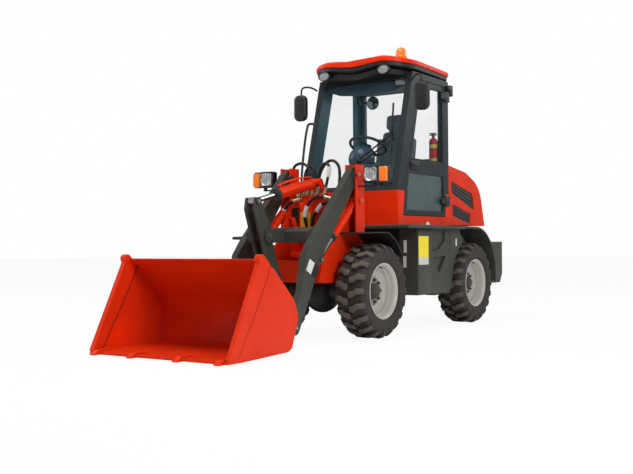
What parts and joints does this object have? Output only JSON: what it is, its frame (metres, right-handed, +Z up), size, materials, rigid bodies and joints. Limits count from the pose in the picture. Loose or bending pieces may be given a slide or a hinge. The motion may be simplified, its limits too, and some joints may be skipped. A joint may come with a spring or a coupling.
{
  "type": "compact articulated wheel loader",
  "caption": "Compact wheel loader with a centre pivot, enclosed cab, tilting engine hood and a bucket on two lifting arms with a rocker linkage.",
  "frame": {"origin": "on the ground under the middle of the machine's box", "axes": "+X forwards to the bucket, +Y to the machine's left, +Z up"},
  "size_m": [4.79, 1.418, 2.5499],
  "materials": {
    "amber": "satin",
    "black_plastic": "satin",
    "cast": "satin",
    "glass_tint": "satin",
    "lamp_clear": "satin",
    "paint_black": "satin",
    "paint_grey": "satin",
    "paint_red": "satin",
    "rim_silver": "satin",
    "seat_vinyl": "satin",
    "steel": "satin",
    "steel_rod": "satin",
    "tyre_rubber": "satin"
  },
  "bodies": {
    "rear_frame": {"rear_frame": "paint_grey", "deck": "paint_grey", "rear_axle": "paint_grey", "counterweight": "paint_grey", "rear_fenders": "paint_grey", "side_boxes": "paint_grey", "engine_block": "cast", "cab_shell": "paint_red", "cab_roof": "paint_red", "windscreen": "glass_tint", "cab_windows": "glass_tint", "seat_base": "black_plastic", "seat_cushions": "seat_vinyl", "dash_console": "black_plastic", "extinguisher": "paint_red", "mirrors": "black_plastic", "grab_rail": "black_plastic", "rear_lamps": "amber", "work_lamps": "lamp_clear", "beacon": "amber"},
    "steering_wheel": {"steering_wheel": "black_plastic"},
    "door": {"door": "paint_black", "door_glass": "glass_tint"},
    "hood": {"hood": "paint_red"},
    "front_frame": {"front_frame": "paint_red", "front_axle": "paint_grey", "front_fenders": "black_plastic", "headlamps": "black_plastic"},
    "boom": {"boom": "paint_grey"},
    "rocker_pin": {"rocker_pin": "steel"},
    "rocker": {"rocker": "paint_grey", "link_pin": "steel"},
    "tilt_link": {"tilt_link": "paint_grey"},
    "hitch_pins": {"hitch_pins": "steel"},
    "bucket": {"quick_hitch": "paint_grey", "bucket": "paint_red"},
    "lift_barrels": {"lift_barrels": "paint_red"},
    "lift_rods": {"lift_rods": "steel_rod"},
    "tilt_barrel": {"tilt_barrel": "paint_red"},
    "tilt_rod": {"tilt_rod": "steel_rod"},
    "steering_barrel": {"steering_barrel": "paint_red"},
    "steering_rod": {"steering_rod": "steel_rod"},
    "front_left_wheel": {"front_left_rim": "rim_silver", "front_left_tyre": "tyre_rubber"},
    "front_right_wheel": {"front_right_rim": "rim_silver", "front_right_tyre": "tyre_rubber"},
    "rear_left_wheel": {"rear_left_rim": "rim_silver", "rear_left_tyre": "tyre_rubber"},
    "rear_right_wheel": {"rear_right_rim": "rim_silver", "rear_right_tyre": "tyre_rubber"}
  },
  "joints": [
    {"name": "articulation", "type": "hinge", "parent": "rear_frame", "child": "front_frame", "pos_m": [-0.5875, 0, 0.6], "axis": [0, 0, 1], "range_deg": [-36, 36]},
    {"name": "steering_wheel_turn", "type": "hinge", "parent": "rear_frame", "child": "steering_wheel", "pos_m": [-0.44, 0, 1.665], "axis": [-0.4226, 0, 0.9063], "range_deg": [-541, 541]},
    {"name": "door_swing", "type": "hinge", "parent": "rear_frame", "child": "door", "pos_m": [-1.032, 0.507, 1.6], "axis": [0, 0, 1], "range_deg": [0, 95]},
    {"name": "hood_lift", "type": "hinge", "parent": "rear_frame", "child": "hood", "pos_m": [-1.123, 0, 1.524], "axis": [0, 1, 0], "range_deg": [0, 55]},
    {"name": "boom_lift", "type": "hinge", "parent": "front_frame", "child": "boom", "pos_m": [0.385, 0, 1.34], "axis": [0, -1, 0], "range_deg": [0, 85]},
    {"name": "hitch_pins_turn", "type": "hinge", "parent": "boom", "child": "hitch_pins", "pos_m": [1.245, 0, 0.15], "axis": [0, -1, 0], "range_deg": [-68.03, 0.03]},
    {"name": "bucket_tilt", "type": "hinge", "parent": "hitch_pins", "child": "bucket", "pos_m": [1.245, 0, 0.15], "axis": [0, -1, 0], "range_deg": [-45, 38]},
    {"name": "rocker_pin_turn", "type": "hinge", "parent": "boom", "child": "rocker_pin", "pos_m": [1.17, 0, 0.829], "axis": [0, -1, 0], "range_deg": [-0.03, 16.35]},
    {"name": "rocker_swing", "type": "hinge", "parent": "rocker_pin", "child": "rocker", "pos_m": [1.17, 0, 0.829], "axis": [0, -1, 0], "range_deg": [-8.75, 10.27]},
    {"name": "tilt_link_swing", "type": "hinge", "parent": "rocker", "child": "tilt_link", "pos_m": [0.965, 0, 0.346], "axis": [0, -1, 0], "range_deg": [-18.66, 0.05]},
    {"name": "lift_barrel_swing", "type": "hinge", "parent": "front_frame", "child": "lift_barrels", "pos_m": [0.335, 0, 1.13], "axis": [0, -1, 0], "range_deg": [-0.5, 81.24]},
    {"name": "lift_rod_slide", "type": "slide", "parent": "lift_barrels", "child": "lift_rods", "axis": [0.7564, 0, -0.6542], "range_m": [0, 0.28651]},
    {"name": "tilt_barrel_swing", "type": "hinge", "parent": "front_frame", "child": "tilt_barrel", "pos_m": [0.414, 0, 1.288], "axis": [0, -1, 0], "range_deg": [-0.5, 86.18]},
    {"name": "tilt_rod_slide", "type": "slide", "parent": "tilt_barrel", "child": "tilt_rod", "axis": [0.9775, 0, -0.211], "range_m": [-0.05148, 0.04378]},
    {"name": "steering_barrel_swing", "type": "hinge", "parent": "rear_frame", "child": "steering_barrel", "pos_m": [-0.7075, -0.115, 0.745], "axis": [0, 0, 1], "range_deg": [-28.62, 28.62]},
    {"name": "steering_rod_slide", "type": "slide", "parent": "steering_barrel", "child": "steering_rod", "axis": [1, 0, 0], "range_m": [-0.07199, 0.07199]},
    {"name": "front_left_wheel_roll", "type": "hinge", "parent": "front_frame", "child": "front_left_wheel", "pos_m": [0.315, 0.47, 0.386], "axis": [0, 1, 0], "continuous": true},
    {"name": "front_right_wheel_roll", "type": "hinge", "parent": "front_frame", "child": "front_right_wheel", "pos_m": [0.315, -0.47, 0.386], "axis": [0, 1, 0], "continuous": true},
    {"name": "rear_left_wheel_roll", "type": "hinge", "parent": "rear_frame", "child": "rear_left_wheel", "pos_m": [-1.49, 0.47, 0.386], "axis": [0, 1, 0], "continuous": true},
    {"name": "rear_right_wheel_roll", "type": "hinge", "parent": "rear_frame", "child": "rear_right_wheel", "pos_m": [-1.49, -0.47, 0.386], "axis": [0, 1, 0], "continuous": true}
  ],
  "couplings": [
    {"joint": "steering_wheel_turn", "follows": "articulation", "ratio": 15},
    {"joint": "steering_barrel_swing", "follows": "articulation", "ratio": 0.78118},
    {"joint": "steering_rod_slide", "follows": "articulation", "m_per_rad": 0.11139},
    {"joint": "hitch_pins_turn", "follows": "boom_lift", "ratio": -0.8},
    {"joint": "rocker_pin_turn", "follows": "boom_lift", "ratio": 0.192},
    {"joint": "tilt_link_swing", "follows": "boom_lift", "ratio": -0.219},
    {"joint": "lift_barrel_swing", "follows": "boom_lift", "ratio": 0.94986},
    {"joint": "lift_rod_slide", "follows": "boom_lift", "m_per_rad": 0.19178},
    {"joint": "tilt_barrel_swing", "follows": "boom_lift", "ratio": 1.008},
    {"joint": "rocker_swing", "follows": "bucket_tilt", "ratio": -0.217},
    {"joint": "tilt_rod_slide", "follows": "bucket_tilt", "m_per_rad": 0.063}
  ]
}
